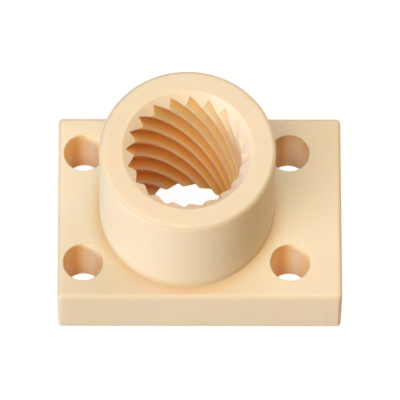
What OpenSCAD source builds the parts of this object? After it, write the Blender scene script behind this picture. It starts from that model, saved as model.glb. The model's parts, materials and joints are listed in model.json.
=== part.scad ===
// Flanged lead screw nut: one machined piece of bearing polymer.
// A rectangular flange plate carries a round barrel, and a steep many-start
// thread runs right through both. The bore's axis is Z, and Z = 0 is the
// flange's mounting face. Sizes are in millimetres.

/* [Flange plate] */
// Length of the plate along X
plate_l = 45.6; // [44.8:0.1:80]
// Width of the plate along Y
plate_w = 32; // [30:0.1:60]
// Thickness of the plate along Z
plate_t = 11.5; // [4:0.5:20]
// Distance along X from the bore's axis to the middle of the plate
plate_shift = 2.1; // [-2.5:0.1:2.5]
// Rounding of the plate's outer edges
plate_edge_r = 0.7; // [0.2:0.1:1.5]

/* [Barrel] */
// Outer diameter of the barrel
barrel_d = 28; // [24:0.1:30]
// Height of the barrel above the plate
barrel_h = 21.5; // [5:0.5:60]
// Rounding of the barrel's top edge
barrel_edge_r = 0.8; // [0.2:0.1:1.5]
// Fillet where the barrel meets the plate
barrel_foot_r = 0.2; // [0.1:0.1:0.6]

/* [Screw holes] */
// Diameter of the four screw holes
hole_d = 6.4; // [3:0.1:7]
// Distance between hole centres along X
hole_span_x = 33.2; // [32:0.1:34.2]
// Distance between hole centres along Y
hole_span_y = 19.4; // [18:0.1:24]
// Edge break at both ends of each screw hole
hole_break = 0.1; // [0.05:0.05:0.5]

/* [Lead thread] */
// Number of thread starts
starts = 20; // [8:1:24]
// Rise of one start in one full turn
lead = 100; // [40:1:200]
// Diameter across the thread crests in the nut
crest_d = 17.3; // [14:0.1:18]
// Diameter across the groove roots in the nut
root_d = 19.5; // [18.5:0.1:20.4]
// Width of the flat on each crest
crest_land = 0.4; // [0.1:0.05:0.8]
// Width of the rounded bottom of each groove
root_land = 0.35; // [0.1:0.05:0.8]
// Angle of the first groove from +X at the mounting face
thread_phase = 7.2; // [0:0.1:18]
// Diameter of the lead-in chamfer at the barrel's mouth
top_mouth_d = 20.8; // [20.5:0.1:24]
// Diameter of the lead-in chamfer at the mounting face
bottom_mouth_d = 19.6; // [18.5:0.1:22]

/* [Hidden] */
$fn = 96;

// How far a cutter runs past the faces that it opens
overrun = 1;
// Turn between neighbouring rings of the twisted thread cutter, and most rings
ring_angle = 4;
ring_limit = 48;

nut_h = plate_t + barrel_h;
crest_r = crest_d / 2;
root_r = root_d / 2;
pitch_angle = 360 / starts;
cutter_h = nut_h + 2 * overrun;
cutter_turn = 360 * cutter_h / lead;
cutter_rings = min(ring_limit, ceil(cutter_turn / ring_angle));

function polar(radius, angle) = [radius * cos(angle), radius * sin(angle)];

// Half the angle that a width spans at a radius
function half_angle(width, radius) = asin(width / 2 / radius);

// Outline of one groove, from crest edge to crest edge, centred on an angle
function groove(angle) =
    let (edge_a = pitch_angle / 2 - half_angle(crest_land, crest_r))
    let (root_a = half_angle(root_land, root_r))
    let (root_rise = root_land / 6)
    [
        polar(crest_r, angle - edge_a),
        polar(root_r - root_rise, angle - root_a),
        polar(root_r, angle),
        polar(root_r - root_rise, angle + root_a),
        polar(crest_r, angle + edge_a)
    ];

// Rectangle about the origin with true arcs at its corners
module rounded_rectangle(length, width, corner_r) {
    square([length, width - 2 * corner_r], center = true);
    square([length - 2 * corner_r, width], center = true);
    for (side_x = [-1, 1], side_y = [-1, 1])
        translate([side_x * (length / 2 - corner_r), side_y * (width / 2 - corner_r)])
            circle(corner_r);
}

// Block standing on Z = 0 with every edge rounded: three extrusions meet
module rounded_block(length, width, height, edge_r) {
    intersection() {
        linear_extrude(height)
            rounded_rectangle(length, width, edge_r);
        translate([0, width / 2, height / 2])
            rotate([90, 0, 0])
                linear_extrude(width)
                    rounded_rectangle(length, height, edge_r);
        translate([-length / 2, 0, height / 2])
            rotate([90, 0, 90])
                linear_extrude(length)
                    rounded_rectangle(width, height, edge_r);
    }
}

module flange_plate() {
    translate([plate_shift, 0, 0])
        rounded_block(plate_l, plate_w, plate_t, min(plate_edge_r, plate_t / 2 - 0.1));
}

// Half section of the barrel, revolved about the bore's axis
module barrel_section() {
    barrel_r = barrel_d / 2;
    square([barrel_r, nut_h - barrel_edge_r]);
    square([barrel_r - barrel_edge_r, nut_h]);
    translate([barrel_r - barrel_edge_r, nut_h - barrel_edge_r])
        circle(barrel_edge_r);
    difference() {
        translate([0, plate_t - barrel_foot_r])
            square([barrel_r + barrel_foot_r, 2 * barrel_foot_r]);
        translate([barrel_r + barrel_foot_r, plate_t + barrel_foot_r])
            circle(barrel_foot_r);
    }
}

module barrel() {
    rotate_extrude()
        barrel_section();
}

// Straight hole through the plate, broken at both ends, with its axis on Z
module screw_hole() {
    translate([0, 0, -overrun])
        cylinder(h = plate_t + 2 * overrun, d = hole_d);
    translate([0, 0, -overrun])
        cylinder(h = overrun + hole_break, d1 = hole_d + 2 * (overrun + hole_break), d2 = hole_d);
    translate([0, 0, plate_t - hole_break])
        cylinder(h = overrun + hole_break, d1 = hole_d, d2 = hole_d + 2 * (overrun + hole_break));
}

module screw_holes() {
    for (side_x = [-1, 1], side_y = [-1, 1])
        translate([side_x * hole_span_x / 2, side_y * hole_span_y / 2, 0])
            screw_hole();
}

// Right-hand thread: all grooves of the section turn together as they rise
module thread_cutter() {
    start_angle = thread_phase - 360 * overrun / lead;
    translate([0, 0, -overrun])
        rotate([0, 0, start_angle])
            linear_extrude(cutter_h, twist = -cutter_turn, slices = cutter_rings)
                polygon([for (start = [0 : starts - 1]) each groove(start * pitch_angle)]);
}

// 45 degree lead-in cone, widest where it leaves the face at Z = 0
module lead_in(mouth_d) {
    depth = (mouth_d - crest_d) / 2 + overrun;
    translate([0, 0, -depth])
        cylinder(h = depth + overrun, r1 = mouth_d / 2 - depth, r2 = mouth_d / 2 + overrun);
}

module threaded_bore() {
    thread_cutter();
    translate([0, 0, nut_h])
        lead_in(top_mouth_d);
    mirror([0, 0, 1])
        lead_in(bottom_mouth_d);
}

module nut_body() {
    color([0.96, 0.88, 0.74])
        difference() {
            union() {
                flange_plate();
                barrel();
            }
            screw_holes();
            threaded_bore();
        }
}

nut_body();
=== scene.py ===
"""Looks of a flanged lead screw nut, machined from one blank of cream bearing polymer.

The nut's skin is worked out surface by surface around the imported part: a flange
plate with rounded edges, a turned barrel, four screw holes and a many-start
thread. Lengths in the classes are millimetres, and they become metres once, in
the mesh itself.
"""

import json
import logging
import math
from dataclasses import dataclass, field
from enum import Enum

import bpy
from mathutils import Matrix, Vector
from mathutils.geometry import delaunay_2d_cdt


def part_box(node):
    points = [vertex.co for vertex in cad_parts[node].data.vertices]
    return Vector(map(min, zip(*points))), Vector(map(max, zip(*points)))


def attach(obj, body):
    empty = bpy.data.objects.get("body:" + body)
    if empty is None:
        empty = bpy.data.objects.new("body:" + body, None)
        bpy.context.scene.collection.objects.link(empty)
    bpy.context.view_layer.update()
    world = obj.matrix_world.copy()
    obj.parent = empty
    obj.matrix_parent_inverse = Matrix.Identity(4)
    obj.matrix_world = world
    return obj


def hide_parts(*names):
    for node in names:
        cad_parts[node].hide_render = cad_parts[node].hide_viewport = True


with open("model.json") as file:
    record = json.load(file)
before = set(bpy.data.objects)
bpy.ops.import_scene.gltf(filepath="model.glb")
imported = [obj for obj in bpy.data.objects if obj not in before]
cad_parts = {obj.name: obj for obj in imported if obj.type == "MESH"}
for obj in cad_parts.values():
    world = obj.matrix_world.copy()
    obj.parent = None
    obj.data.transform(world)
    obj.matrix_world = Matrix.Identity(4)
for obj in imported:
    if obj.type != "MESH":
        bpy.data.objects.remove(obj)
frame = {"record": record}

LOG = logging.getLogger("lead_screw_nut")

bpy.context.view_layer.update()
NODE = "nut_body"
BODY = "root"
MM = 0.001
WELD_DIGITS = 7

FILL_TOLERANCE = 1e-7
CREST_R = 8.65
LEAD_IN_SLOPE = 135.0

# Sockets of a Mix node that mixes colours: its share, both colours and the result.
MIX_INPUTS = (0, 6, 7)
MIX_RESULT = 2

Point = tuple[float, float, float]
Flat = tuple[float, float]
Colour = tuple[float, float, float]


class Finish(Enum):
    """The machined finishes that the nut's surfaces carry, in slot order."""

    MILLED = 0
    TURNED = 1
    CHAMFERED = 2
    DRILLED = 3
    THREADED = 4


# --- Mesh of one welded skin ---


@dataclass
class Row:
    """One closed row of points with the normal that a surface has at each."""

    points: list[Point]
    normals: list[Point]


@dataclass
class Skin:
    """Welded mesh that keeps each surface's own true normals at its corners.

    Attributes:
        points: The welded places, in metres.
        faces: The vertices of each face, in turn.
        corner_normals: A normal for each corner of each face.
        finishes: The slot of each face's finish.
        index_of: The vertex at each place.
    """

    points: list[Point] = field(default_factory=list)
    faces: list[tuple[int, ...]] = field(default_factory=list)
    corner_normals: list[Point] = field(default_factory=list)
    finishes: list[int] = field(default_factory=list)
    index_of: dict[Point, int] = field(default_factory=dict)

    def vertex(self, point: Point) -> int:
        """Welds a point to the skin.

        Args:
            point: The place in millimetres.

        Returns:
            The index of the vertex at that place.
        """
        place = tuple(round(c * MM, WELD_DIGITS) + 0.0 for c in point)
        if place not in self.index_of:
            self.index_of[place] = len(self.points)
            self.points.append(place)
        return self.index_of[place]

    def face(self, corners: list[tuple[Point, Point]], finish: Finish) -> None:
        """Adds one face, and drops corners that weld together.

        Args:
            corners: A place and a normal for each corner, in turn.
            finish: The finish that the face carries.
        """
        seen: list[int] = []
        normals: list[Point] = []
        for place, normal in corners:
            index = self.vertex(place)
            if index not in seen:
                seen.append(index)
                normals.append(normal)
        if len(seen) > 2:
            self.faces.append(tuple(seen))
            self.corner_normals.extend(normals)
            self.finishes.append(finish.value)

    def bridge(self, rows: list[Row], finish: Finish) -> None:
        """Joins neighbouring closed rows with quads.

        Args:
            rows: Rows with equal numbers of points, ordered so that the face
                between two of them looks out of the material.
            finish: The finish that the surface carries.
        """
        for near, far in zip(rows, rows[1:]):
            count = len(near.points)
            for i in range(count):
                j = (i + 1) % count
                self.face(
                    [
                        (near.points[i], near.normals[i]),
                        (near.points[j], near.normals[j]),
                        (far.points[j], far.normals[j]),
                        (far.points[i], far.normals[i]),
                    ],
                    finish,
                )

    def plane(
        self,
        height: float,
        up: bool,
        outline: list[Flat],
        openings: list[list[Flat]],
        finish: Finish,
    ) -> None:
        """Fills a level face between an outline and the openings in it.

        Args:
            height: Where the face lies along Z.
            up: True for a face that looks up.
            outline: The face's outer loop.
            openings: The loops that it leaves open.
            finish: The finish that the face carries.
        """
        loops = [list(dict.fromkeys(outline)), *openings]
        flat: list[Vector] = []
        edges: list[tuple[int, int]] = []
        for loop in loops:
            first = len(flat)
            flat += [Vector(p) for p in loop]
            edges += [(first + i, first + (i + 1) % len(loop)) for i in range(len(loop))]
        flat_points, _, triangles, _, _, _ = delaunay_2d_cdt(flat, edges, [], 0, FILL_TOLERANCE)
        normal = (0.0, 0.0, 1.0 if up else -1.0)
        for triangle in triangles:
            corners = [flat_points[i] for i in triangle]
            middle = sum(corners, Vector((0.0, 0.0))) / len(corners)
            if not inside(middle, loops[0]) or any(inside(middle, hole) for hole in loops[1:]):
                continue
            ordered = corners if up else corners[::-1]
            self.face([((p.x, p.y, height), normal) for p in ordered], finish)

    def to_object(self, name: str, materials: list[bpy.types.Material]) -> bpy.types.Object:
        """Makes the Blender object.

        Args:
            name: The piece's name.
            materials: One material for each finish, in slot order.

        Returns:
            The object, linked to the scene.
        """
        mesh = bpy.data.meshes.new(name)
        mesh.from_pydata(self.points, [], self.faces)
        for material in materials:
            mesh.materials.append(material)
        mesh.polygons.foreach_set("material_index", self.finishes)
        mesh.polygons.foreach_set("use_smooth", [True] * len(self.faces))
        mesh.update()
        mesh.normals_split_custom_set(self.corner_normals)
        return linked(name, mesh)


def linked(name: str, data: bpy.types.ID) -> bpy.types.Object:
    """Returns a new object that holds the data and is linked to the scene."""
    made = bpy.data.objects.new(name, data)
    bpy.context.scene.collection.objects.link(made)
    return made


def inside(point: Vector, loop: list[Flat]) -> bool:
    """Tells whether a point lies inside a closed loop.

    Args:
        point: The point in the loop's plane.
        loop: The loop's corners in turn.

    Returns:
        True if it lies inside.
    """
    within = False
    for (x0, y0), (x1, y1) in zip(loop, loop[1:] + loop[:1]):
        if (y0 > point.y) == (y1 > point.y):
            continue
        if point.x < x0 + (x1 - x0) * (point.y - y0) / (y1 - y0):
            within = not within
    return within


def spread(low: float, high: float, steps: int) -> list[float]:
    """Returns evenly spaced values from low to high, both included."""
    return [low + (high - low) * i / steps for i in range(steps + 1)]


def ring_row(angles: list[float], radius: float, height: float, slope: float) -> Row:
    """Makes a row round the Z axis.

    Args:
        angles: The angle of each point, in radians.
        radius: The row's radius.
        height: Its place along Z.
        slope: The normal's angle above the horizon, in radians. Beyond a right
            angle it looks inwards.

    Returns:
        The row.
    """
    out, rise = math.cos(slope), math.sin(slope)
    return Row(
        [(radius * math.cos(a), radius * math.sin(a), height) for a in angles],
        [(out * math.cos(a), out * math.sin(a), rise) for a in angles],
    )


def shifted(row: Row, x: float, y: float) -> Row:
    """Returns a copy of a row moved level by x and y."""
    return Row([(p[0] + x, p[1] + y, p[2]) for p in row.points], row.normals)


def level(row: Row) -> list[Flat]:
    """Returns a row's points without their height."""
    return [(p[0], p[1]) for p in row.points]


def arc_rows(
    angles: list[float], centre: Flat, radius: float, start: float, end: float, steps: int
) -> list[Row]:
    """Makes the rows of a rounding that is turned about the Z axis.

    Args:
        angles: The angle of each point round the axis, in radians.
        centre: The rounding's centre in the half section, as radius and height.
        radius: Its radius, below zero for a hollow fillet.
        start: The normal's slope where the rounding begins, in degrees.
        end: The slope where it ends.
        steps: How many strips it has.

    Returns:
        The rows, in order from start to end.
    """
    rows = []
    for slope in spread(math.radians(start), math.radians(end), steps):
        at = (centre[0] + radius * math.cos(slope), centre[1] + radius * math.sin(slope))
        rows.append(ring_row(angles, at[0], at[1], slope))
    return rows


def even_turn(count: int) -> list[float]:
    """Returns count angles spaced evenly over one turn, in radians."""
    return [math.tau * i / count for i in range(count)]


# --- Sub-assemblies of the nut ---


@dataclass
class ScrewHoles:
    """Four straight holes through the flange plate.

    Attributes:
        radius: Radius of each hole.
        centres: Where the holes' axes stand.
        plate_top: Height of the plate's upper face.
        break_r: Rounding of both rims.
        columns: Points round each hole.
        break_steps: Strips in each rounding.
    """

    radius: float
    centres: list[Flat]
    plate_top: float
    break_r: float = 0.12
    columns: int = 72
    break_steps: int = 4

    def rim(self, centre: Flat) -> list[Flat]:
        """Returns the loop that a hole cuts out of the plate's faces."""
        row = ring_row(even_turn(self.columns), self.radius + self.break_r, 0.0, 0.0)
        return level(shifted(row, *centre))

    def rims(self) -> list[list[Flat]]:
        """Returns the loops of all the holes."""
        return [self.rim(centre) for centre in self.centres]

    def build(self, skin: Skin) -> None:
        """Adds the walls and rims of the holes.

        Args:
            skin: The nut's skin.
        """
        angles = even_turn(self.columns)
        middle = self.radius + self.break_r
        rows: list[Row] = []
        for height, start in ((self.plate_top - self.break_r, 90), (self.break_r, 180)):
            centre = (middle, height)
            rows += arc_rows(angles, centre, self.break_r, start, start + 90, self.break_steps)
        for centre in self.centres:
            skin.bridge([shifted(row, *centre) for row in rows], Finish.DRILLED)


@dataclass
class FlangePlate:
    """Rectangular plate that stands off the bore's axis, with every edge rounded.

    Attributes:
        low: Corner of the plate with the lowest x and y.
        high: Corner with the highest x and y.
        thickness: Height of the plate.
        edge_r: Rounding of its edges.
        edge_steps: Strips in the rounding of the upper and the lower edge.
        corner_steps: Columns in the rounding of each upright corner.
    """

    low: Flat
    high: Flat
    thickness: float
    edge_r: float = 0.7
    edge_steps: int = 7
    corner_steps: int = 7

    def loop(self, inset: float, height: float, slope: float) -> Row:
        """Makes one row round the plate.

        Args:
            inset: How far the row lies in from the plate's sides.
            height: Its place along Z.
            slope: The normal's angle above the horizon, in radians.

        Returns:
            The row, with the same number of points at any inset.
        """
        r = self.edge_r
        centres = [
            (self.high[0] - r, self.high[1] - r),
            (self.low[0] + r, self.high[1] - r),
            (self.low[0] + r, self.low[1] + r),
            (self.high[0] - r, self.low[1] + r),
        ]
        out, rise = math.cos(slope), math.sin(slope)
        points: list[Point] = []
        normals: list[Point] = []
        for quarter, (x, y) in enumerate(centres):
            first, last = quarter * math.pi / 2, (quarter + 1) * math.pi / 2
            for turn in spread(first, last, self.corner_steps):
                across, along = math.cos(turn), math.sin(turn)
                points.append((x + (r - inset) * across, y + (r - inset) * along, height))
                normals.append((out * across, out * along, rise))
        return Row(points, normals)

    def outline(self) -> list[Flat]:
        """Returns the loop that bounds the flat of the upper and the lower face."""
        return level(self.loop(self.edge_r, 0.0, 0.0))

    def build(self, skin: Skin, foot: list[Flat], mouth: list[Flat], holes: ScrewHoles) -> None:
        """Adds the plate's sides and both of its faces.

        Args:
            skin: The nut's skin.
            foot: The loop that the barrel stands on.
            mouth: The bore's loop in the mounting face.
            holes: The screw holes.
        """
        r = self.edge_r
        rows = []
        for base, start, end in ((r, -90.0, 0.0), (self.thickness - r, 0.0, 90.0)):
            for slope in spread(math.radians(start), math.radians(end), self.edge_steps):
                rows.append(self.loop(r - r * math.cos(slope), base + r * math.sin(slope), slope))
        skin.bridge(rows, Finish.MILLED)
        skin.plane(self.thickness, True, self.outline(), [foot, *holes.rims()], Finish.MILLED)
        skin.plane(0.0, False, self.outline(), [mouth, *holes.rims()], Finish.MILLED)


@dataclass
class Barrel:
    """Round barrel that is turned about the bore's axis.

    Attributes:
        radius: Outer radius.
        foot: Height where it meets the plate.
        top: Height of its end face.
        edge_r: Rounding of the end face's outer edge.
        foot_r: Fillet where it meets the plate.
        columns: Points round the barrel.
        edge_steps: Strips in the edge's rounding.
        foot_steps: Strips in the fillet.
        wall_steps: Strips in the wall.
    """

    radius: float
    foot: float
    top: float
    edge_r: float = 0.8
    foot_r: float = 0.2
    columns: int = 240
    edge_steps: int = 8
    foot_steps: int = 4
    wall_steps: int = 6

    def foot_loop(self) -> list[Flat]:
        """Returns the loop where the fillet runs out on the plate."""
        return level(ring_row(even_turn(self.columns), self.radius + self.foot_r, 0.0, 0.0))

    def build(self, skin: Skin, mouth: list[Flat]) -> None:
        """Adds the barrel's wall and its end face.

        Args:
            skin: The nut's skin.
            mouth: The bore's loop in the end face.
        """
        angles = even_turn(self.columns)
        foot_centre = (self.radius + self.foot_r, self.foot + self.foot_r)
        edge_centre = (self.radius - self.edge_r, self.top - self.edge_r)
        rows = arc_rows(angles, foot_centre, -self.foot_r, 90, 0, self.foot_steps)
        heights = spread(foot_centre[1], edge_centre[1], self.wall_steps)
        rows += [ring_row(angles, self.radius, height, 0.0) for height in heights[1:-1]]
        rows += arc_rows(angles, edge_centre, self.edge_r, 0, 90, self.edge_steps)
        skin.bridge(rows, Finish.TURNED)
        skin.plane(self.top, True, level(rows[-1]), [mouth], Finish.TURNED)


@dataclass(frozen=True)
class Station:
    """One point of the thread's section, at the height of the mounting face.

    Attributes:
        radius: Distance from the bore's axis.
        angle: Angle round it, in radians.
        facing: Direction of the section's normal, which looks into the bore.
    """

    radius: float
    angle: float
    facing: float


@dataclass
class LeadThread:
    """Right-hand many-start thread, with a 45 degree lead-in at both mouths.

    Attributes:
        top: Height of the barrel's end face.
        starts: Number of starts.
        lead: Rise of one start in one turn.
        crest_r: Radius of the crests.
        root_r: Radius of the grooves' roots.
        crest_land: Width of the flat on each crest.
        crest_round: Rounding of the crests' edges.
        root_round: Radius of the grooves' bottoms.
        phase: Angle of the first groove at the mounting face, in degrees.
        top_mouth_r: Radius of the lead-in at the end face.
        bottom_mouth_r: Radius of the lead-in at the mounting face.
        mouth_break: Rounding of both mouths.
        root_steps: Strips in half a groove's bottom.
        flank_steps: Strips in a flank.
        crest_steps: Strips in the rounding of a crest's edge.
        rise_steps: Rows down the bore.
        cone_steps: Rows down a lead-in.
        break_steps: Strips in the rounding of a mouth.
    """

    top: float
    starts: int = 20
    lead: float = 100.0
    crest_r: float = CREST_R
    root_r: float = 9.75
    crest_land: float = 0.4
    crest_round: float = 0.13
    root_round: float = 0.2
    phase: float = 7.2
    top_mouth_r: float = 10.4
    bottom_mouth_r: float = 9.8
    mouth_break: float = 0.12
    root_steps: int = 3
    flank_steps: int = 4
    crest_steps: int = 3
    rise_steps: int = 52
    cone_steps: int = 2
    break_steps: int = 4

    def half_groove(self) -> list[Station]:
        """Works out the section from a groove's root to the middle of a crest.

        Returns:
            The stations of a groove that is centred on the X axis.
        """
        pitch = math.tau / self.starts
        edge = pitch / 2 - math.asin(self.crest_land / 2 / self.crest_r)
        root_x = self.root_r - self.root_round
        run = self.crest_r * math.cos(edge) - root_x
        side = self.crest_r * math.sin(edge)
        flank = math.atan2(side, run) - math.acos(self.root_round / math.hypot(run, side))
        crest_centre_r = self.crest_r + self.crest_round
        depth = self.crest_r * math.cos(edge - flank) + self.crest_round
        land = flank - math.acos(depth / crest_centre_r)
        centre = Vector((crest_centre_r * math.cos(land), crest_centre_r * math.sin(land)))

        spots: list[tuple[Vector, float]] = []
        for turn in spread(0.0, flank, self.root_steps):
            away = Vector((math.cos(turn), math.sin(turn)))
            spots.append((Vector((root_x, 0.0)) + self.root_round * away, turn))
        root_end = spots[-1][0]
        crest_start = centre - self.crest_round * Vector((math.cos(flank), math.sin(flank)))
        for share in spread(0.0, 1.0, self.flank_steps)[1:-1]:
            spots.append((root_end.lerp(crest_start, share), flank))
        for turn in spread(flank, land, self.crest_steps):
            away = Vector((math.cos(turn), math.sin(turn)))
            spots.append((centre - self.crest_round * away, turn))
        spots.append((self.crest_r * Vector((math.cos(pitch / 2), math.sin(pitch / 2))), pitch / 2))
        return [
            Station(spot.length, math.atan2(spot.y, spot.x), turn + math.pi) for spot, turn in spots
        ]

    def section(self) -> list[Station]:
        """Returns the whole closed section, start after start."""
        half = self.half_groove()
        mirrored = [Station(s.radius, -s.angle, -s.facing) for s in half[:0:-1]]
        groove = mirrored + half[:-1]
        stations = []
        for start in range(self.starts):
            turn = math.radians(self.phase) + start * math.tau / self.starts
            stations += [Station(s.radius, s.angle + turn, s.facing + turn) for s in groove]
        return stations

    def lower_end(self, station: Station) -> float:
        """Returns the height at which the lower lead-in meets a station."""
        return self.bottom_mouth_r - station.radius

    def upper_end(self, station: Station) -> float:
        """Returns the height at which the upper lead-in meets a station."""
        return self.top - (self.top_mouth_r - station.radius)

    def twist(self, height: float) -> float:
        """Returns how far the section has turned at a height, in radians."""
        return math.tau * height / self.lead

    def thread_row(self, stations: list[Station], share: float) -> Row:
        """Makes a row of the thread, at the same share of every station's length.

        Args:
            stations: The section.
            share: 0 at the upper lead-in and 1 at the lower one.

        Returns:
            The row.
        """
        points: list[Point] = []
        normals: list[Point] = []
        for station in stations:
            low, high = self.lower_end(station), self.upper_end(station)
            height = high + (low - high) * share
            angle = station.angle + self.twist(height)
            facing = station.facing + self.twist(height)
            x, y = station.radius * math.cos(angle), station.radius * math.sin(angle)
            across, along = math.cos(facing), math.sin(facing)
            lean = -math.tau / self.lead * (x * along - y * across)
            normal = Vector((across, along, lean)).normalized()
            points.append((x, y, height))
            normals.append(tuple(normal))
        return Row(points, normals)

    def mouth_angles(self, upper: bool) -> list[float]:
        """Returns the angle of every station where it meets a lead-in."""
        end = self.upper_end if upper else self.lower_end
        return [station.angle + self.twist(end(station)) for station in self.section()]

    def spare(self) -> float:
        """Returns how far the rounding of a mouth reaches beyond its sharp edge."""
        return self.mouth_break * math.tan(math.pi / 8)

    def mouth(self, upper: bool) -> list[Flat]:
        """Returns the bore's loop in the end face or in the mounting face."""
        radius = self.top_mouth_r if upper else self.bottom_mouth_r
        return level(ring_row(self.mouth_angles(upper), radius + self.spare(), 0.0, 0.0))

    def cone_rows(self, thread_end: Row, upper: bool) -> list[Row]:
        """Makes the rows of a lead-in and of its rounded mouth.

        Args:
            thread_end: The row where the thread runs out.
            upper: True for the lead-in in the end face.

        Returns:
            The rows from the thread to the mouth.
        """
        angles = self.mouth_angles(upper)
        mouth_r = self.top_mouth_r if upper else self.bottom_mouth_r
        face_z, side = (self.top, 1.0) if upper else (0.0, -1.0)
        centre = (mouth_r + self.spare(), face_z - side * self.mouth_break)
        slope = side * math.radians(LEAD_IN_SLOPE)
        out, rise = math.cos(slope), math.sin(slope)
        start, end = side * LEAD_IN_SLOPE, side * 90
        mouth_rows = arc_rows(angles, centre, self.mouth_break, start, end, self.break_steps)
        rows = []
        for share in spread(0.0, 1.0, self.cone_steps)[:-1]:
            points = [
                tuple(Vector(low).lerp(Vector(high), share))
                for low, high in zip(thread_end.points, mouth_rows[0].points)
            ]
            rows.append(Row(points, [(out * math.cos(a), out * math.sin(a), rise) for a in angles]))
        return rows + mouth_rows

    def build(self, skin: Skin) -> None:
        """Adds the thread and both lead-ins.

        Args:
            skin: The nut's skin.
        """
        stations = self.section()
        rows = [self.thread_row(stations, share) for share in spread(0.0, 1.0, self.rise_steps)]
        skin.bridge(rows, Finish.THREADED)
        skin.bridge(self.cone_rows(rows[0], True)[::-1], Finish.CHAMFERED)
        skin.bridge(self.cone_rows(rows[-1], False), Finish.CHAMFERED)


@dataclass
class LeadScrewNut:
    """The whole nut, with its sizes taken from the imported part.

    Attributes:
        holes: The screw holes.
        plate: The flange plate.
        barrel: The turned barrel.
        thread: The lead thread.
    """

    holes: ScrewHoles
    plate: FlangePlate
    barrel: Barrel
    thread: LeadThread

    @classmethod
    def from_part(cls, record: dict) -> "LeadScrewNut":
        """Reads the nut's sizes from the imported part.

        Args:
            record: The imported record, whose mounts hold the measured sizes.

        Returns:
            The nut.
        """
        low, high = (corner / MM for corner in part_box(NODE))
        mounts = {mount["name"]: mount for mount in record["mounts"]}
        pattern = mounts["screw_holes"]["dims"]
        seat = mounts["barrel"]["dims"]
        barrel = Barrel(radius=seat["r_mm"], foot=0.0, top=high.z)
        barrel.foot = barrel.top - barrel.edge_r - seat["length_mm"] - barrel.foot_r
        centres = [
            (side_x * pattern["spacing_x_mm"] / 2, side_y * pattern["spacing_y_mm"] / 2)
            for side_x in (-1, 1)
            for side_y in (-1, 1)
        ]
        return cls(
            holes=ScrewHoles(pattern["hole_r_mm"], centres, barrel.foot),
            plate=FlangePlate((low.x, low.y), (high.x, high.y), barrel.foot),
            barrel=barrel,
            thread=LeadThread(top=high.z),
        )

    def build(self, materials: list[bpy.types.Material]) -> bpy.types.Object:
        """Builds the nut's skin as one piece.

        Args:
            materials: One material for each finish, in slot order.

        Returns:
            The piece.
        """
        skin = Skin()
        self.thread.build(skin)
        LOG.info("thread: %d starts, %d faces so far", self.thread.starts, len(skin.faces))
        self.barrel.build(skin, self.thread.mouth(True))
        height = self.barrel.top - self.barrel.foot
        LOG.info("barrel: %.1f mm high, %d faces so far", height, len(skin.faces))
        self.holes.build(skin)
        LOG.info("screw holes: %d, %d faces so far", len(self.holes.centres), len(skin.faces))
        self.plate.build(skin, self.barrel.foot_loop(), self.thread.mouth(False), self.holes)
        thickness = self.plate.thickness
        LOG.info("flange plate: %.1f mm thick, %d faces in all", thickness, len(skin.faces))
        return skin.to_object("machined_nut", materials)


# --- Shader nodes ---


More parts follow.
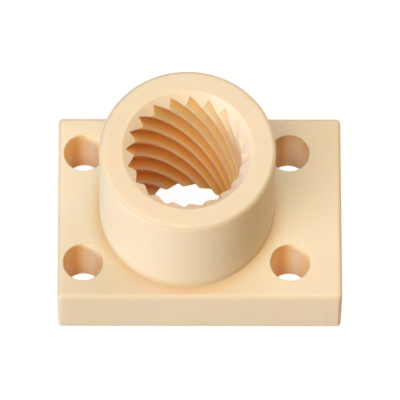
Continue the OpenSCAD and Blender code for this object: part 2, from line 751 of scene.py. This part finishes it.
class NodeSheet:
    """Lays out and joins the nodes of one shader tree."""

    def __init__(self, tree: bpy.types.NodeTree) -> None:
        """Starts a sheet on an empty tree."""
        self.tree = tree

    @classmethod
    def blank(cls, owner: bpy.types.Material | bpy.types.World) -> "NodeSheet":
        """Returns a sheet on the emptied shader tree of a material or a world."""
        owner.use_nodes = True
        owner.node_tree.nodes.clear()
        return cls(owner.node_tree)

    def add(self, kind: str, **settings: object) -> bpy.types.Node:
        """Adds a node.

        Args:
            kind: The node's Blender type, without the leading ShaderNode.
            settings: Properties of the node.

        Returns:
            The node.
        """
        prefix = "" if kind.startswith("NodeGroup") else "ShaderNode"
        node = self.tree.nodes.new(prefix + kind)
        for name, value in settings.items():
            setattr(node, name, value)
        return node

    def feed(self, socket: bpy.types.NodeSocket, source: object) -> None:
        """Links a socket to another one, or sets its value.

        Args:
            socket: The socket to feed.
            source: A socket, a number, or three or four numbers. A colour of
                three numbers becomes opaque.
        """
        if isinstance(source, bpy.types.NodeSocket):
            self.tree.links.new(source, socket)
        elif socket.type == "RGBA" and len(source) == 3:
            socket.default_value = (*source, 1.0)
        else:
            socket.default_value = source

    def math(self, operation: str, *sources: object, clamp: bool = False) -> bpy.types.NodeSocket:
        """Adds a Math node.

        Args:
            operation: The node's operation.
            sources: Sockets or numbers for its inputs.
            clamp: True to keep the result between 0 and 1.

        Returns:
            The result.
        """
        node = self.add("Math", operation=operation, use_clamp=clamp)
        for socket, source in zip(node.inputs, sources):
            self.feed(socket, source)
        return node.outputs[0]

    def times(self, first: object, second: object) -> bpy.types.NodeSocket:
        """Returns the product of two numbers."""
        return self.math("MULTIPLY", first, second)

    def vector(self, operation: str, *sources: object) -> bpy.types.Node:
        """Adds a Vector Math node.

        Args:
            operation: The node's operation.
            sources: Sockets or vectors for its vector inputs.

        Returns:
            The node, because some operations give a value and some a vector.
        """
        node = self.add("VectorMath", operation=operation)
        for socket, source in zip(node.inputs, sources):
            self.feed(socket, source)
        return node

    def combine(self, x: object, y: object, z: object) -> bpy.types.NodeSocket:
        """Returns a vector made of three numbers."""
        node = self.add("CombineXYZ")
        for socket, source in zip(node.inputs, (x, y, z)):
            self.feed(socket, source)
        return node.outputs[0]

    def separate(self, source: bpy.types.NodeSocket) -> list[bpy.types.NodeSocket]:
        """Returns a vector's three numbers."""
        node = self.add("SeparateXYZ")
        self.feed(node.inputs[0], source)
        return list(node.outputs)

    def normal(self) -> list[bpy.types.NodeSocket]:
        """Returns the three numbers of the surface's normal."""
        return self.separate(self.add("NewGeometry").outputs["Normal"])

    def ramp(
        self, source: object, low: float, high: float, to_low: float = 0.0, to_high: float = 1.0
    ) -> bpy.types.NodeSocket:
        """Maps a span of values smoothly onto another.

        Args:
            source: The value to map.
            low: Where the span begins.
            high: Where it ends.
            to_low: The result up to its beginning.
            to_high: The result from its end.

        Returns:
            The mapped value.
        """
        node = self.add("MapRange", interpolation_type="SMOOTHSTEP")
        for socket, value in zip(node.inputs, (source, low, high, to_low, to_high)):
            self.feed(socket, value)
        return node.outputs[0]

    def noise(
        self, vector: bpy.types.NodeSocket, scale: object, detail: float
    ) -> bpy.types.NodeSocket:
        """Returns a noise value from 0 to 1 over a vector."""
        node = self.add("TexNoise", noise_dimensions="3D")
        for label, source in {"Vector": vector, "Scale": scale, "Detail": detail}.items():
            self.feed(node.inputs[label], source)
        return node.outputs["Fac"]

    def blend(self, share: object, first: object, second: object) -> bpy.types.NodeSocket:
        """Mixes two colours.

        Args:
            share: How much of the second colour shows.
            first: The first colour.
            second: The second colour.

        Returns:
            The mixed colour.
        """
        node = self.add("Mix", data_type="RGBA")
        for index, source in zip(MIX_INPUTS, (share, first, second)):
            self.feed(node.inputs[index], source)
        return node.outputs[MIX_RESULT]


class EffectGroup:
    """Shader node group that is built once and placed in several materials."""

    def __init__(self, name: str, inputs: dict[str, str], outputs: dict[str, str]) -> None:
        """Makes the group with its named sockets.

        Args:
            name: The group's name.
            inputs: The kind of each input by name: Float or Vector.
            outputs: The kind of each output by name.
        """
        self.tree = bpy.data.node_groups.new(name, "ShaderNodeTree")
        for in_out, sockets in (("INPUT", inputs), ("OUTPUT", outputs)):
            for label, kind in sockets.items():
                socket_type = "NodeSocket" + kind
                self.tree.interface.new_socket(name=label, in_out=in_out, socket_type=socket_type)
        self.sheet = NodeSheet(self.tree)
        self.given = self.sheet.add("NodeGroupInput").outputs
        self.result = self.sheet.add("NodeGroupOutput").inputs

    def place(self, sheet: NodeSheet, **values: object) -> bpy.types.bpy_prop_collection:
        """Places the group in a material.

        Args:
            sheet: The material's sheet.
            values: A socket or number for each input.

        Returns:
            The placed group's outputs.
        """
        node = sheet.add("Group", node_tree=self.tree)
        for label, source in values.items():
            sheet.feed(node.inputs[label], source)
        return node.outputs


class BoreFrame(EffectGroup):
    """Where a point of the surface lies about the bore's axis, in millimetres."""

    def __init__(self, lead: float) -> None:
        """Builds the group.

        Args:
            lead: The thread's rise in one turn.
        """
        outputs = {
            "Place": "Vector",
            "Radius": "Float",
            "Height": "Float",
            "Facing": "Vector",
            "Untwisted": "Vector",
        }
        super().__init__("bore_frame", {}, outputs)
        sheet = self.sheet
        place = sheet.vector("SCALE", sheet.add("TexCoord").outputs["Object"])
        place.inputs["Scale"].default_value = 1 / MM
        x, y, z = sheet.separate(place.outputs[0])
        flat = sheet.combine(x, y, 0.0)
        turn = sheet.times(z, -math.tau / lead)
        cosine, sine = sheet.math("COSINE", turn), sheet.math("SINE", turn)
        straight_x = sheet.math("SUBTRACT", sheet.times(x, cosine), sheet.times(y, sine))
        straight_y = sheet.math("ADD", sheet.times(x, sine), sheet.times(y, cosine))
        sheet.feed(self.result["Place"], place.outputs[0])
        sheet.feed(self.result["Radius"], sheet.vector("LENGTH", flat).outputs["Value"])
        sheet.feed(self.result["Height"], z)
        sheet.feed(self.result["Facing"], sheet.vector("NORMALIZE", flat).outputs[0])
        sheet.feed(self.result["Untwisted"], sheet.combine(straight_x, straight_y, z))


class ToolMarks(EffectGroup):
    """Fine grooves that a cutting edge leaves along its course."""

    FINE_DETAIL = 3.0
    BROAD_DETAIL = 1.0
    BROAD_FINENESS = 0.22
    FINE_SHARE = 0.7
    BROAD_SHARE = 0.3
    STREAK_SPAN = (0.38, 0.62)

    def __init__(self) -> None:
        """Builds the group."""
        inputs = {"Course": "Vector", "Fineness": "Float"}
        super().__init__("tool_marks", inputs, {"Height": "Float", "Streak": "Float"})
        sheet, course, fineness = self.sheet, self.given["Course"], self.given["Fineness"]
        fine = sheet.noise(course, fineness, self.FINE_DETAIL)
        broad_scale = sheet.times(fineness, self.BROAD_FINENESS)
        broad = sheet.noise(course, broad_scale, self.BROAD_DETAIL)
        parts = (sheet.times(fine, self.FINE_SHARE), sheet.times(broad, self.BROAD_SHARE))
        sheet.feed(self.result["Height"], sheet.math("ADD", *parts))
        sheet.feed(self.result["Streak"], sheet.ramp(broad, *self.STREAK_SPAN))


class ResinMottle(EffectGroup):
    """Soft clouds and fine grain of a filled polymer."""

    CLOUD_SCALE = 0.11
    CLOUD_SPAN = (0.35, 0.65)
    GRAIN_SCALE = 5.0
    DETAIL = 2.0

    def __init__(self) -> None:
        """Builds the group."""
        super().__init__("resin_mottle", {"Place": "Vector"}, {"Cloud": "Float", "Grain": "Float"})
        sheet, place = self.sheet, self.given["Place"]
        cloud = sheet.noise(place, self.CLOUD_SCALE, self.DETAIL)
        sheet.feed(self.result["Cloud"], sheet.ramp(cloud, *self.CLOUD_SPAN))
        sheet.feed(self.result["Grain"], sheet.noise(place, self.GRAIN_SCALE, self.DETAIL))


class PaintedEdgeShade(EffectGroup):
    """Mask of the rounded edges, where painted shade makes them a little darker than the faces."""

    # A product of a share and its rest is at most a quarter.
    TO_FULL = 4.0

    def __init__(self) -> None:
        """Builds the group."""
        super().__init__("edge_tone", {"Corners": "Float"}, {"Rim": "Float"})
        sheet = self.sheet
        x, y, z = (sheet.times(part, part) for part in sheet.normal())
        slanted = sheet.times(z, sheet.math("SUBTRACT", 1.0, z))
        corner = sheet.times(sheet.times(x, y), self.given["Corners"])
        rim = sheet.math("MAXIMUM", slanted, corner)
        sheet.feed(self.result["Rim"], sheet.math("MULTIPLY", rim, self.TO_FULL, clamp=True))


class PaintedFootShade(EffectGroup):
    """Painted shade in the corner where the barrel stands on the plate."""

    def __init__(self, foot: Flat, reach: float = 3.2, margin: float = 0.3) -> None:
        """Builds the group.

        Args:
            foot: Radius and height of the corner, in millimetres.
            reach: How far the painted shade spreads from it, in millimetres.
            margin: How far below the plate's upper face it has faded out.
        """
        super().__init__("foot_tone", {"Radius": "Float", "Height": "Float"}, {"Foot": "Float"})
        sheet, height = self.sheet, self.given["Height"]
        out = sheet.math("MAXIMUM", sheet.math("SUBTRACT", self.given["Radius"], foot[0]), 0.0)
        up = sheet.math("MAXIMUM", sheet.math("SUBTRACT", height, foot[1]), 0.0)
        away = sheet.vector("LENGTH", sheet.combine(out, up, 0.0)).outputs["Value"]
        near = sheet.ramp(away, 0.0, reach, 1.0, 0.0)
        above = sheet.ramp(height, foot[1] - margin, foot[1])
        sheet.feed(self.result["Foot"], sheet.times(sheet.times(near, near), above))


@dataclass
class Effects:
    """The node groups that the finishes share.

    Attributes:
        bore: Place about the bore's axis.
        marks: Tool marks.
        mottle: Clouds and grain of the resin.
        edge: Mask of the rounded edges, for painted shade.
        foot: Mask of the painted shade round the barrel's foot.
    """

    bore: BoreFrame
    marks: ToolMarks
    mottle: ResinMottle
    edge: PaintedEdgeShade
    foot: PaintedFootShade


# --- Finishes ---

CREAM = (0.80, 0.67, 0.48)
DEEP_CREAM = (0.795, 0.64, 0.425)
# Painted shade on the rounded edges and the holes' rims.
RIM_SHADE_COLOUR = (0.67, 0.55, 0.385)
# Painted shade round the barrel's foot; the plate's real witness line has the same colour.
FOOT_SHADE_AND_MARK_COLOUR = (0.74, 0.515, 0.27)

ALONG_SHARE = 0.04
LEVEL_SPAN = (0.5, 0.9)
STREAK_ROUGHNESS = 0.08
GRAIN_SHARE = 0.35
SHADER_VALUES = {
    "IOR": 1.5,
    "Subsurface Radius": (1.0, 0.5, 0.2),
    "Subsurface Scale": 0.003,
}


class Marks(Enum):
    """The course that the cutting edge took over a surface."""

    ARCS_AND_UPRIGHTS = "arcs about the bore on level faces, upright lines on the sides"
    RINGS = "rings about the bore"
    FEED = "rings down a drilled wall"
    HELIX = "lines along the thread"


@dataclass(frozen=True)
class GroovePaintedLight:
    """Painted light and shade of the thread, which is paler where its mouth lets the light in.

    The reach of the light grows with x and with height. It is measured in
    millimetres, and each span of it runs from none of an effect to all of it.

    Attributes:
        crest: Painted shade on crest flats that the light doesn't reach.
        mouth: Painted light on the flanks at the mouth's open side.
        flank: Painted light on flanks that the light reaches.
        shaded_flank: Painted shade on flanks that it doesn't reach.
        root: Painted shade on roots and overhanging flanks.
        rise: How much the reach grows with a millimetre of height.
        floor: The reach on the axis at the mounting face.
        lit_span: Span of the reach over which the light comes in.
        open_span: Span over which the mouth's tone takes over.
        overhang_span: Span of the normal's z over which a flank stops overhanging.
        root_span: Span of the radius over which a flank becomes a root.
        flank_depth: Depth below the crests from which only the flanks' tones show.
        root_relief: How much of the roots' painted shade the light takes away.
    """

    crest: Colour
    mouth: Colour
    flank: Colour
    shaded_flank: Colour
    root: Colour
    rise: float = 0.6
    floor: float = -13.2
    lit_span: Flat = (-1.2, 1.0)
    open_span: Flat = (4.0, 11.0)
    overhang_span: Flat = (-0.3, 0.3)
    root_span: Flat = (8.85, 9.65)
    flank_depth: float = 0.3
    root_relief: float = 0.75

    def dress(
        self, sheet: NodeSheet, bore: bpy.types.bpy_prop_collection, body: bpy.types.NodeSocket
    ) -> bpy.types.NodeSocket:
        """Lays the painted light and shade over the polymer's colour.

        Args:
            sheet: The material's sheet.
            bore: Outputs of the bore frame.
            body: The polymer's colour.

        Returns:
            The colour with painted light and shade.
        """
        # Painted light where the light comes in over the mouth; painted shade in the roots, under
        # overhanging flanks and where the light doesn't reach.
        lift = sheet.math("MULTIPLY_ADD", bore["Height"], self.rise, self.floor)
        reach = sheet.math("ADD", sheet.separate(bore["Place"])[0], lift)
        lit = sheet.ramp(reach, *self.lit_span)
        crests = sheet.blend(lit, self.crest, body)
        flanks = sheet.blend(lit, self.shaded_flank, self.flank)
        flanks = sheet.blend(sheet.ramp(reach, *self.open_span), flanks, self.mouth)
        overhang = sheet.ramp(sheet.normal()[2], *self.overhang_span, 1.0, 0.0)
        hollow = sheet.math("MAXIMUM", overhang, sheet.ramp(bore["Radius"], *self.root_span))
        kept = sheet.math("MULTIPLY_ADD", lit, -self.root_relief, 1.0)
        flanks = sheet.blend(sheet.times(hollow, kept), flanks, self.root)
        below = sheet.ramp(bore["Radius"], CREST_R, CREST_R + self.flank_depth)
        return sheet.blend(below, crests, flanks)


@dataclass(frozen=True)
class HolePaintedLight:
    """Painted light and shade on a screw hole's wall, by the way that the wall faces.

    Attributes:
        shade: Painted shade on the wall that faces right, away from the light.
        front: Painted light on the wall that faces the back.
        band: Band of painted light on the wall that faces left and the front.
        rim: Painted shade on the rounded rims.
        shade_spans: Spans of the normal's x over which the shade comes and goes.
        front_span: Span of the normal's y over which the front's tone comes.
        band_spans: Spans of the normal's x over which the band goes and comes.
        band_least: Share of the band that is left on the wall that faces left.
        band_heights: Heights between which the band fades, in millimetres.
        band_top: Share of the band that is left above them.
        rim_span: Span of the normal's slant over which the rim's tone comes.
    """

    shade: Colour = (0.83, 0.50, 0.165)
    front: Colour = (0.98, 0.84, 0.62)
    band: Colour = (0.99, 0.96, 0.85)
    rim: Colour = RIM_SHADE_COLOUR
    shade_spans: tuple[Flat, Flat] = ((-0.1, 0.4), (0.5, 0.97))
    front_span: Flat = (-0.2, 0.4)
    band_spans: tuple[Flat, Flat] = ((-0.35, 0.45), (-0.8, -0.4))
    band_least: float = 0.5
    band_heights: Flat = (8.0, 11.0)
    band_top: float = 0.4
    rim_span: Flat = (0.2, 0.6)

    def dress(
        self, sheet: NodeSheet, bore: bpy.types.bpy_prop_collection, body: bpy.types.NodeSocket
    ) -> bpy.types.NodeSocket:
        """Lays the painted light and shade over the polymer's colour.

        Args:
            sheet: The material's sheet.
            bore: Outputs of the bore frame.
            body: The polymer's colour.

        Returns:
            The colour with painted light and shade.
        """
        # Painted shade on the wall that faces right, painted light on the wall that faces the back
        # and in a pale band, painted shade on the rims.
        x, y, z = sheet.normal()
        comes, goes = self.shade_spans
        shaded = sheet.times(sheet.ramp(x, *comes), sheet.ramp(x, *goes, 1.0, 0.0))
        body = sheet.blend(shaded, body, self.shade)
        body = sheet.blend(sheet.ramp(y, *self.front_span), body, self.front)
        goes, comes = self.band_spans
        band = sheet.times(sheet.ramp(x, *goes, 1.0, 0.0), sheet.ramp(x, *comes, self.band_least))
        fade = sheet.ramp(bore["Height"], *self.band_heights, 1.0, self.band_top)
        body = sheet.blend(sheet.times(band, fade), body, self.band)
        slant = sheet.ramp(sheet.math("ABSOLUTE", z), *self.rim_span)
        return sheet.blend(slant, body, self.rim)


@dataclass(frozen=True)
class WitnessLine:
    """Faint upright line on the plate's front side.

    Attributes:
        x: Where it stands, in millimetres.
        colour: Its colour.
        share: How much of the colour shows in its middle.
        width_span: Distances from its middle between which it fades, in millimetres.
        front_span: Span of the normal's y over which the front side ends.
    """

    x: float = 22.6
    colour: Colour = FOOT_SHADE_AND_MARK_COLOUR
    share: float = 0.3
    width_span: Flat = (0.08, 0.26)
    front_span: Flat = (-0.9, -0.5)

    def dress(
        self, sheet: NodeSheet, bore: bpy.types.bpy_prop_collection, body: bpy.types.NodeSocket
    ) -> bpy.types.NodeSocket:
        """Lays the line over the polymer's colour.

        Args:
            sheet: The material's sheet.
            bore: Outputs of the bore frame.
            body: The polymer's colour.

        Returns:
            The colour with the line on it.
        """
        front = sheet.ramp(sheet.normal()[1], *self.front_span, 1.0, 0.0)
        offset = sheet.math("SUBTRACT", sheet.separate(bore["Place"])[0], self.x)
        aside = sheet.math("ABSOLUTE", offset)
        line = sheet.times(sheet.ramp(aside, *self.width_span, self.share, 0.0), front)
        return sheet.blend(line, body, self.colour)


@dataclass(frozen=True)
class PolymerFinish:
    """One finish of the bearing polymer.

    Attributes:
        name: The material's name.
        colour: Base colour.
        deep_colour: Colour that the clouds lean towards.
        roughness: Base roughness.
        marks: Course of the tool marks.
        fineness: Scale of the tool marks' noise across their course.
        mark_depth: Depth of the marks, in millimetres.
        cloud: How far the clouds lean towards the deep colour.
        rim: How far rounded edges lean towards the colour of painted shade.
        corners: 1 where upright corners are rounded too.
        foot: How far the barrel's foot leans towards the colour of painted shade.
        painted_light_and_marks: What is laid on top of its colour: painted light and shade in the
            holes and the thread, a real witness line on the plate.
        translucency: How much of the light passes into the material.
        gloss: Level of the plain reflection.
    """

    name: str
    colour: Colour
    deep_colour: Colour
    roughness: float
    marks: Marks
    fineness: float
    mark_depth: float
    cloud: float = 0.25
    rim: float = 0.0
    corners: float = 0.0
    foot: float = 0.0
    painted_light_and_marks: GroovePaintedLight | HolePaintedLight | WitnessLine | None = None
    translucency: float = 0.6
    gloss: float = 0.3

    def course(
        self, sheet: NodeSheet, bore: bpy.types.bpy_prop_collection
    ) -> bpy.types.NodeSocket:
        """Works out the course of the tool marks.

        Args:
            sheet: The material's sheet.
            bore: Outputs of the bore frame.

        Returns:
            A vector that changes fast across the marks and slowly along them.
        """
        x, y, z = sheet.separate(bore["Place"])
        facing_x, facing_y, _ = sheet.separate(bore["Facing"])
        if self.marks is Marks.HELIX:
            straight = sheet.separate(bore["Untwisted"])
            return sheet.combine(straight[0], straight[1], sheet.times(z, ALONG_SHARE))
        if self.marks is Marks.FEED:
            return sheet.combine(z, sheet.times(x, ALONG_SHARE), sheet.times(y, ALONG_SHARE))
        rings = sheet.combine(sheet.math("ADD", bore["Radius"], z), facing_x, facing_y)
        if self.marks is Marks.RINGS:
            return rings
        uprights = sheet.combine(sheet.math("ADD", x, y), sheet.times(z, ALONG_SHARE), 0.0)
        level_share = sheet.ramp(sheet.math("ABSOLUTE", sheet.normal()[2]), *LEVEL_SPAN)
        return sheet.blend(level_share, uprights, rings)

    def make(self, groups: Effects) -> bpy.types.Material:
        """Makes the material.

        Args:
            groups: The shared effects.

        Returns:
            The material.
        """
        material = bpy.data.materials.new(self.name)
        sheet = NodeSheet.blank(material)
        bore = groups.bore.place(sheet)
        course = self.course(sheet, bore)
        marks = groups.marks.place(sheet, Course=course, Fineness=self.fineness)
        mottle = groups.mottle.place(sheet, Place=bore["Place"])

        cloud = sheet.times(mottle["Cloud"], self.cloud)
        colour = sheet.blend(cloud, self.colour, self.deep_colour)
        # Painted light and shade in the holes and the thread; on the plate, a real witness line.
        if self.painted_light_and_marks:
            colour = self.painted_light_and_marks.dress(sheet, bore, colour)
        # Painted shade round the barrel's foot.
        if self.foot:
            foot = groups.foot.place(sheet, Radius=bore["Radius"], Height=bore["Height"])
            colour = sheet.blend(sheet.times(foot["Foot"], self.foot), colour, FOOT_SHADE_AND_MARK_COLOUR)
        # Painted shade on the rounded edges.
        if self.rim:
            edge = groups.edge.place(sheet, Corners=self.corners)
            colour = sheet.blend(sheet.times(edge["Rim"], self.rim), colour, RIM_SHADE_COLOUR)
        least = self.roughness - STREAK_ROUGHNESS / 2
        roughness = sheet.math("MULTIPLY_ADD", marks["Streak"], STREAK_ROUGHNESS, least)

        bump = sheet.add("Bump")
        bump.inputs["Strength"].default_value = 1.0
        bump.inputs["Distance"].default_value = self.mark_depth * MM
        relief = sheet.math("MULTIPLY_ADD", mottle["Grain"], GRAIN_SHARE, marks["Height"])
        sheet.feed(bump.inputs["Height"], relief)

        shader = sheet.add("BsdfPrincipled")
        for label, value in SHADER_VALUES.items():
            shader.inputs[label].default_value = value
        shader.inputs["Subsurface Weight"].default_value = self.translucency
        shader.inputs["Specular IOR Level"].default_value = self.gloss
        sheet.feed(shader.inputs["Base Color"], colour)
        sheet.feed(shader.inputs["Roughness"], roughness)
        sheet.feed(shader.inputs["Normal"], bump.outputs["Normal"])
        sheet.feed(sheet.add("OutputMaterial").inputs["Surface"], shader.outputs[0])
        return material


FINISHES = {
    Finish.MILLED: PolymerFinish(
        name="milled_polymer",
        colour=(0.765, 0.65, 0.467),
        deep_colour=(0.76, 0.625, 0.42),
        roughness=0.50,
        marks=Marks.ARCS_AND_UPRIGHTS,
        fineness=6.0,
        mark_depth=0.012,
        # rim and foot paint shade on the rounded edges and round the barrel's foot.
        rim=0.9,
        corners=1.0,
        foot=0.8,
        painted_light_and_marks=WitnessLine(),
    ),
    Finish.TURNED: PolymerFinish(
        name="turned_polymer",
        colour=CREAM,
        deep_colour=DEEP_CREAM,
        roughness=0.46,
        marks=Marks.RINGS,
        fineness=7.0,
        mark_depth=0.010,
        # rim and foot paint shade on the rounded edges and round the barrel's foot.
        rim=0.9,
        foot=0.9,
        gloss=0.1,
    ),
    Finish.CHAMFERED: PolymerFinish(
        name="chamfered_polymer",
        colour=(0.82, 0.665, 0.475),
        deep_colour=(0.815, 0.64, 0.43),
        roughness=0.44,
        marks=Marks.RINGS,
        fineness=8.0,
        mark_depth=0.008,
    ),
    Finish.DRILLED: PolymerFinish(
        name="drilled_polymer",
        # Painted light: this warmer, more saturated colour than the outer faces' cream stands in
        # for light that bounces round inside the holes.
        colour=(0.95, 0.67, 0.27),
        deep_colour=(0.94, 0.64, 0.24),
        roughness=0.32,
        marks=Marks.FEED,
        fineness=5.0,
        mark_depth=0.003,
        painted_light_and_marks=HolePaintedLight(),
        translucency=0.0,
        gloss=0.05,
    ),
    Finish.THREADED: PolymerFinish(
        name="threaded_polymer",
        # Painted light: this paler, more orange colour than the outer faces' cream stands in for
        # light that bounces round inside the bore.
        colour=(0.99, 0.875, 0.59),
        deep_colour=(0.99, 0.855, 0.55),
        roughness=0.42,
        marks=Marks.HELIX,
        fineness=5.0,
        mark_depth=0.008,
        cloud=0.1,
        painted_light_and_marks=GroovePaintedLight(
            crest=(0.99, 0.85, 0.50),
            mouth=(0.92, 0.75, 0.52),
            flank=(0.99, 0.77, 0.365),
            shaded_flank=(0.96, 0.645, 0.22),
            root=(0.83, 0.45, 0.135),
        ),
        gloss=0.1,
    ),
}


# --- Studio ---

DIFFUSE_BOUNCES = 12


def direction(azimuth: float, elevation: float) -> Vector:
    """Makes the unit vector that points at a place in the sky.

    Args:
        azimuth: Angle from the front towards the right, in degrees.
        elevation: Angle above the horizon, in degrees.

    Returns:
        The vector from the nut to that place.
    """
    turn, rise = math.radians(azimuth), math.radians(elevation)
    out = math.cos(rise)
    return Vector((math.sin(turn) * out, -math.cos(turn) * out, math.sin(rise)))


@dataclass(frozen=True)
class SoftBox:
    """Square lamp that faces the nut.

    Attributes:
        name: The lamp's name.
        azimuth: Its angle from the front towards the right, in degrees.
        elevation: Its angle above the horizon, in degrees.
        size: Its width and height, in metres.
        power: Its power, in watts.
        colour: Its colour.
        distance: How far it stands off, in metres.
    """

    name: str
    azimuth: float
    elevation: float
    size: float
    power: float
    colour: Colour
    distance: float = 1.1

    def build(self) -> bpy.types.Object:
        """Builds the lamp.

        Returns:
            The lamp.
        """
        data = bpy.data.lights.new(self.name, "AREA")
        data.shape = "RECTANGLE"
        data.size = data.size_y = self.size
        data.energy = self.power
        data.color = self.colour
        lamp = linked(self.name, data)
        away = direction(self.azimuth, self.elevation)
        lamp.location = away * self.distance
        lamp.rotation_euler = away.to_track_quat("Z", "Y").to_euler()
        return lamp


@dataclass(frozen=True)
class Studio:
    """Pale floor, white surroundings and soft lamps.

    Attributes:
        lamps: The lamps.
        floor_half: Half of the floor's width, in metres.
        floor_colour: The floor's colour in the light that it throws back.
        floor_white: Level of the floor's plain white.
        white_share: How much of that white shows directly and in reflections.
    """

    lamps: tuple[SoftBox, ...]
    floor_half: float = 3.0
    floor_colour: Colour = (0.58, 0.42, 0.24)
    floor_white: float = 1.12
    white_share: float = 0.86

    def seen_directly(self, sheet: NodeSheet) -> bpy.types.NodeSocket:
        """Returns 1 for rays that show a background, 0 for those that light the nut."""
        rays = sheet.add("LightPath").outputs
        mirrored = sheet.math("MAXIMUM", rays["Is Glossy Ray"], rays["Is Transmission Ray"])
        return sheet.math("MAXIMUM", rays["Is Camera Ray"], mirrored)

    def build_sky(self) -> None:
        """Makes the surroundings, which show as plain white and light nothing."""
        world = bpy.data.worlds.new("studio_surround")
        sheet = NodeSheet.blank(world)
        background = sheet.add("Background")
        background.inputs["Color"].default_value = (1.0, 1.0, 1.0, 1.0)
        sheet.feed(background.inputs["Strength"], self.seen_directly(sheet))
        sheet.feed(sheet.add("OutputWorld").inputs["Surface"], background.outputs[0])
        bpy.context.scene.world = world

    def build_floor(self) -> bpy.types.Object:
        """Builds the floor, which shows nearly white and keeps the nut's shadow.

        Returns:
            The floor.
        """
        half = self.floor_half
        corners = [(-half, -half, 0), (half, -half, 0), (half, half, 0), (-half, half, 0)]
        mesh = bpy.data.meshes.new("studio_floor")
        mesh.from_pydata(corners, [], [(0, 1, 2, 3)])
        material = bpy.data.materials.new("studio_floor")
        sheet = NodeSheet.blank(material)
        lit = sheet.add("BsdfDiffuse")
        sheet.feed(lit.inputs["Color"], self.floor_colour)
        white = sheet.add("Emission")
        white.inputs["Strength"].default_value = self.floor_white
        mixed = sheet.add("MixShader")
        share = sheet.times(self.seen_directly(sheet), self.white_share)
        for socket, source in zip(mixed.inputs, (share, lit.outputs[0], white.outputs[0])):
            sheet.feed(socket, source)
        sheet.feed(sheet.add("OutputMaterial").inputs["Surface"], mixed.outputs[0])
        mesh.materials.append(material)
        return linked("studio_floor", mesh)

    def build(self) -> None:
        """Builds the surroundings, the floor and the lamps."""
        self.build_sky()
        self.build_floor()
        for lamp in self.lamps:
            lamp.build()
            LOG.info("%s: %.2f W", lamp.name, lamp.power)


@dataclass(frozen=True)
class View:
    """Camera that looks down on the front of the nut through a long lens.

    Attributes:
        azimuth: The camera's angle from the front towards the right, in degrees.
        elevation: Its angle above the horizon, in degrees.
        roll: Its turn about the line of sight, in degrees.
        distance: How far it stands from the middle of the lower mouth, in metres.
        aim: Point it looks at, right of and above that middle, in metres.
        lens: Focal length, in millimetres.
        sensor: Width of the sensor, in millimetres.
        nearest: Nearest distance that shows, in metres.
    """

    azimuth: float = -0.944
    elevation: float = 65.11
    roll: float = 0.963
    distance: float = 1.117
    aim: Flat = (0.00225, 0.00609)
    lens: float = 618.9
    sensor: float = 36.0
    nearest: float = 0.01

    def build(self) -> bpy.types.Object:
        """Builds the camera and makes it the scene's own.

        Returns:
            The camera.
        """
        back = direction(self.azimuth, self.elevation)
        side = Vector((0.0, 0.0, 1.0)).cross(back).normalized()
        up = back.cross(side)
        turn = math.radians(self.roll)
        right = math.cos(turn) * side + math.sin(turn) * up
        top = -math.sin(turn) * side + math.cos(turn) * up
        place = back * self.distance
        sight = (place - self.aim[0] * right - self.aim[1] * top).normalized()
        right = top.cross(sight).normalized()
        top = sight.cross(right)
        data = bpy.data.cameras.new("view")
        data.lens = self.lens
        data.sensor_width = self.sensor
        data.clip_start = self.nearest
        camera = linked("view", data)
        axes = Matrix((right, top, sight)).transposed().to_4x4()
        camera.matrix_world = Matrix.Translation(place) @ axes
        bpy.context.scene.camera = camera
        return camera


LAMPS = (
    SoftBox("low_left", -50.0, 14.0, 0.45, 8.3, (0.86, 1.01, 1.24)),
    SoftBox("back", 165.0, 50.0, 0.6, 3.9, (0.88, 1.01, 1.25)),
    SoftBox("key", -27.0, 64.0, 0.35, 3.9, (1.10, 1.0, 0.87)),
    SoftBox("top", 0.0, 75.0, 0.5, 3.0, (1.16, 1.0, 0.80)),
    SoftBox("right", 125.0, 35.0, 0.5, 2.6, (1.3, 1.0, 0.5)),
    SoftBox("left", -50.0, 48.0, 0.45, 0.9, (0.8, 1.0, 1.25)),
    SoftBox("front", 0.0, 12.0, 0.45, 0.85, (1.25, 1.0, 0.55)),
)


def main() -> None:
    """Builds the nut, its studio and the view."""
    logging.basicConfig(level=logging.INFO, format="%(name)s: %(message)s")
    bpy.context.scene.view_settings.view_transform = "Standard"
    bpy.context.scene.cycles.diffuse_bounces = DIFFUSE_BOUNCES
    nut = LeadScrewNut.from_part(frame["record"])
    foot = PaintedFootShade((nut.barrel.radius, nut.barrel.foot))
    effects = Effects(BoreFrame(nut.thread.lead), ToolMarks(), ResinMottle(), PaintedEdgeShade(), foot)
    materials = [FINISHES[finish].make(effects) for finish in Finish]
    piece = nut.build(materials)
    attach(piece, BODY)
    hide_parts(NODE)
    LOG.info("%s rides on %s and stands for %s", piece.name, BODY, NODE)
    Studio(LAMPS).build()
    View().build()


if __name__ == "__main__":
    main()
